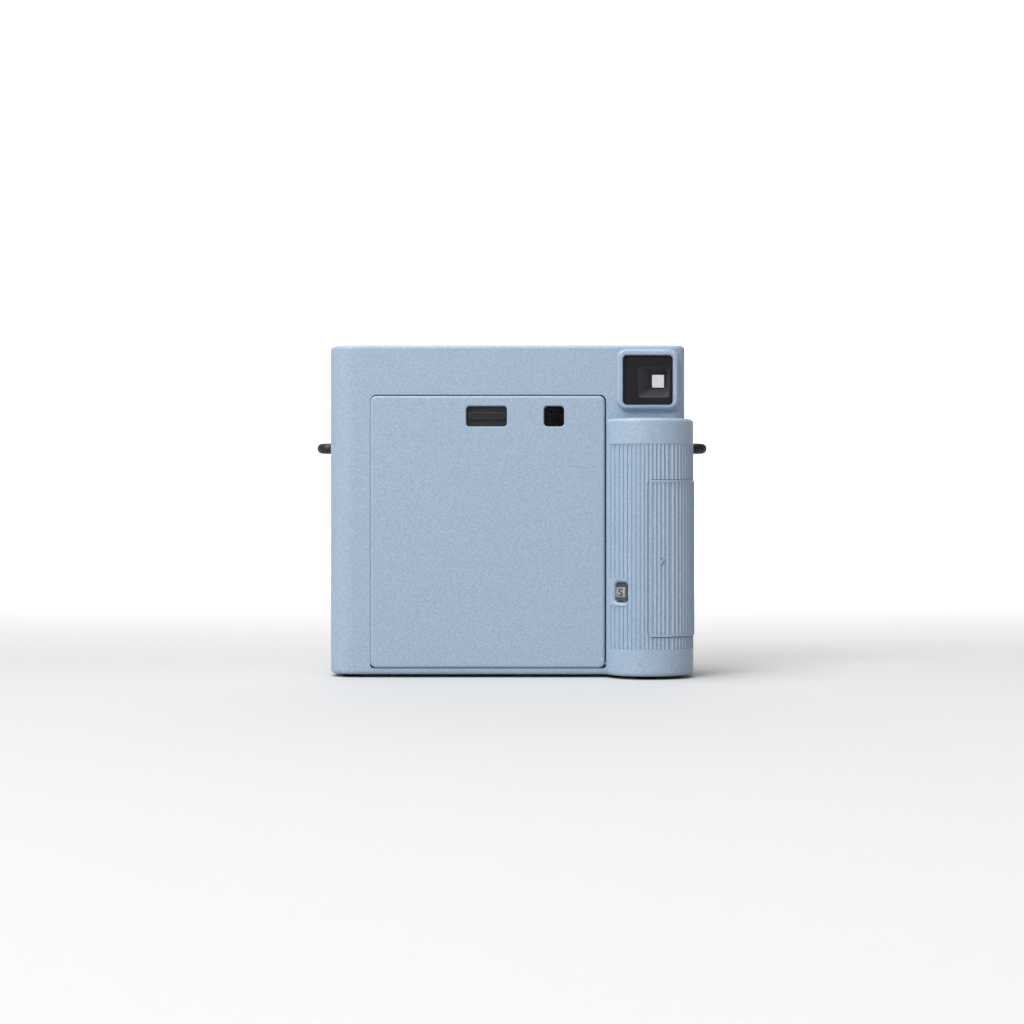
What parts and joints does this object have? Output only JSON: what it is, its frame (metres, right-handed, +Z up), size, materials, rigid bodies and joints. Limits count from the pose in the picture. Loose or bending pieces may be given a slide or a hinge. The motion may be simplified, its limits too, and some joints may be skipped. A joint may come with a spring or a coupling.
{
  "type": "instant camera",
  "caption": "Square-format instant camera with a ribbed grip, a turn-to-extend lens, a hinged film door, a swinging battery cover and working developer rollers.",
  "frame": {"origin": "under the middle of the camera, on the surface its feet stand on", "axes": "+Z up; the lens looks towards -Y and the film door and eyepiece face +Y; the grip is at -X"},
  "size_m": [0.142, 0.0575, 0.1186],
  "materials": {
    "body_blue": "glacier blue, fine spark-eroded grain",
    "black_plastic": "black, fine matte",
    "button_white": "white, satin",
    "cell_sleeve": "plain printed sleeve",
    "smoked_window": "polished, nearly black",
    "clear_glass": "polished clear",
    "steel": "ground and nickel plated",
    "brass": "bright",
    "mirror": "vacuum metallised",
    "foot_rubber": "matte",
    "board_green": "solder mask",
    "nylon": "natural"
  },
  "bodies": {
    "casing": {"battery_contact": "brass", "battery_holder": "black_plastic", "battery_lower": "cell_sleeve", "battery_spring": "brass", "battery_upper": "cell_sleeve", "casing_screw_1": "steel", "casing_screw_2": "steel", "circuit_board": "board_green", "counter_window": "clear_glass", "door_pin_left": "steel", "door_pin_right": "steel", "eyepiece_frame": "black_plastic", "eyepiece_lens": "clear_glass", "film_chassis": "black_plastic", "flash_capacitor": "black_plastic", "flash_reflector": "mirror", "flash_tube": "clear_glass", "flash_window": "clear_glass", "foot_grip": "foot_rubber", "foot_side": "foot_rubber", "front_cover": "body_blue", "idler_pin": "steel", "light_cone": "black_plastic", "light_sensor": "clear_glass", "motor": "steel", "rear_cover": "body_blue", "roller_bracket": "steel", "shutter_spring": "steel", "strap_lug_grip": "black_plastic", "strap_lug_side": "black_plastic", "viewfinder_tube": "black_plastic", "viewfinder_window": "clear_glass"},
    "film_door": {"film_door": "body_blue", "door_window": "smoked_window", "latch_spring": "steel", "pressure_spring_left": "steel", "pressure_spring_right": "steel"},
    "door_latch": {"door_latch": "black_plastic"},
    "pressure_pad_left": {"pressure_pad_left": "black_plastic"},
    "pressure_pad_right": {"pressure_pad_right": "black_plastic"},
    "cover_hinge": {"cover_hinge_frame": "black_plastic"},
    "battery_cover": {"battery_cover": "body_blue"},
    "counter_drum": {"counter_drum": "black_plastic"},
    "lens_dial": {"lens_dial": "body_blue"},
    "lens_barrel": {"lens_barrel": "black_plastic", "front_lens": "clear_glass", "lens_ring": "black_plastic", "selfie_mirror": "mirror", "shutter_plate": "black_plastic", "shutter_pivot": "steel"},
    "shutter_blade_left": {"shutter_blade_left": "steel"},
    "shutter_blade_right": {"shutter_blade_right": "steel"},
    "roller_front": {"roller_front": "steel", "roller_gear_front": "nylon"},
    "roller_rear": {"roller_rear": "steel", "roller_gear_rear": "nylon"},
    "idler_gear": {"idler_gear": "nylon"},
    "motor_pinion": {"motor_pinion": "brass"},
    "exit_flap": {"exit_flap": "black_plastic"},
    "shutter_button": {"shutter_button": "button_white"}
  },
  "joints": [
    {"name": "film_door_hinge", "type": "hinge", "parent": "casing", "child": "film_door", "pos_m": [0.0087, 0.0164, 0.005], "axis": [-1, 0, 0], "range_deg": [0, 90]},
    {"name": "door_latch_slide", "type": "slide", "parent": "film_door", "child": "door_latch", "axis": [0, 0, -1], "range_m": [0, 0.0022], "stiffness_N_per_m": 250, "springref_m": -0.003, "deforming": ["latch_spring"]},
    {"name": "pressure_pad_left_slide", "type": "slide", "parent": "film_door", "child": "pressure_pad_left", "axis": [0, 1, 0], "range_m": [0, 0.003], "stiffness_N_per_m": 300, "springref_m": -0.002, "deforming": ["pressure_spring_left"]},
    {"name": "pressure_pad_right_slide", "type": "slide", "parent": "film_door", "child": "pressure_pad_right", "axis": [0, 1, 0], "range_m": [0, 0.003], "stiffness_N_per_m": 300, "springref_m": -0.002, "deforming": ["pressure_spring_right"]},
    {"name": "battery_cover_slide", "type": "slide", "parent": "casing", "child": "cover_hinge", "axis": [-1, 0, 0], "range_m": [0, 0.003]},
    {"name": "battery_cover_hinge", "type": "hinge", "parent": "cover_hinge", "child": "battery_cover", "pos_m": [-0.0642, -0.0019, 0.04265], "axis": [0, 0, 1], "range_deg": [0, 100]},
    {"name": "counter_turn", "type": "hinge", "parent": "casing", "child": "counter_drum", "pos_m": [-0.04194, 0.02033, 0.03065], "axis": [-0.7902, 0.6129, 0], "range_deg": [0, 308.5]},
    {"name": "dial_turn", "type": "hinge", "parent": "casing", "child": "lens_dial", "pos_m": [0.0087, 0, 0.053], "axis": [0, -1, 0], "range_deg": [0, 90]},
    {"name": "barrel_slide", "type": "slide", "parent": "casing", "child": "lens_barrel", "axis": [0, -1, 0], "range_m": [0, 0.01201]},
    {"name": "shutter_blade_left_swing", "type": "hinge", "parent": "lens_barrel", "child": "shutter_blade_left", "pos_m": [0.0087, -0.016, 0.04], "axis": [0, 1, 0], "range_deg": [0, 30], "stiffness_Nm_per_rad": 0.002, "springref_deg": -11.46},
    {"name": "shutter_blade_right_swing", "type": "hinge", "parent": "lens_barrel", "child": "shutter_blade_right", "pos_m": [0.0087, -0.015, 0.04], "axis": [0, 1, 0], "range_deg": [-30.1, 0]},
    {"name": "roller_front_turn", "type": "hinge", "parent": "casing", "child": "roller_front", "pos_m": [0.0087, -0.0036, 0.106], "axis": [1, 0, 0], "continuous": true},
    {"name": "roller_rear_turn", "type": "hinge", "parent": "casing", "child": "roller_rear", "pos_m": [0.0087, 0.0054, 0.106], "axis": [1, 0, 0], "continuous": true},
    {"name": "idler_turn", "type": "hinge", "parent": "casing", "child": "idler_gear", "pos_m": [-0.0357, -0.00555, 0.09492], "axis": [1, 0, 0], "continuous": true},
    {"name": "pinion_turn", "type": "hinge", "parent": "casing", "child": "motor_pinion", "pos_m": [-0.0357, -0.00555, 0.08592], "axis": [1, 0, 0], "continuous": true},
    {"name": "exit_flap_swing", "type": "hinge", "parent": "casing", "child": "exit_flap", "pos_m": [0.0087, 0.0034, 0.1134], "axis": [-1, 0, 0], "range_deg": [0, 55], "stiffness_Nm_per_rad": 0.0004, "springref_deg": -17.19},
    {"name": "shutter_press", "type": "slide", "parent": "casing", "child": "shutter_button", "axis": [0, 1, 0], "range_m": [0, 0.0014], "stiffness_N_per_m": 500, "springref_m": -0.0015, "deforming": ["shutter_spring"]}
  ],
  "couplings": [
    {"joint": "barrel_slide", "follows": "dial_turn", "m_per_rad": 0.0076394},
    {"joint": "shutter_blade_right_swing", "follows": "shutter_blade_left_swing", "ratio": -1},
    {"joint": "roller_rear_turn", "follows": "roller_front_turn", "ratio": -1},
    {"joint": "idler_turn", "follows": "roller_front_turn", "ratio": -0.66667},
    {"joint": "pinion_turn", "follows": "roller_front_turn", "ratio": 2}
  ]
}
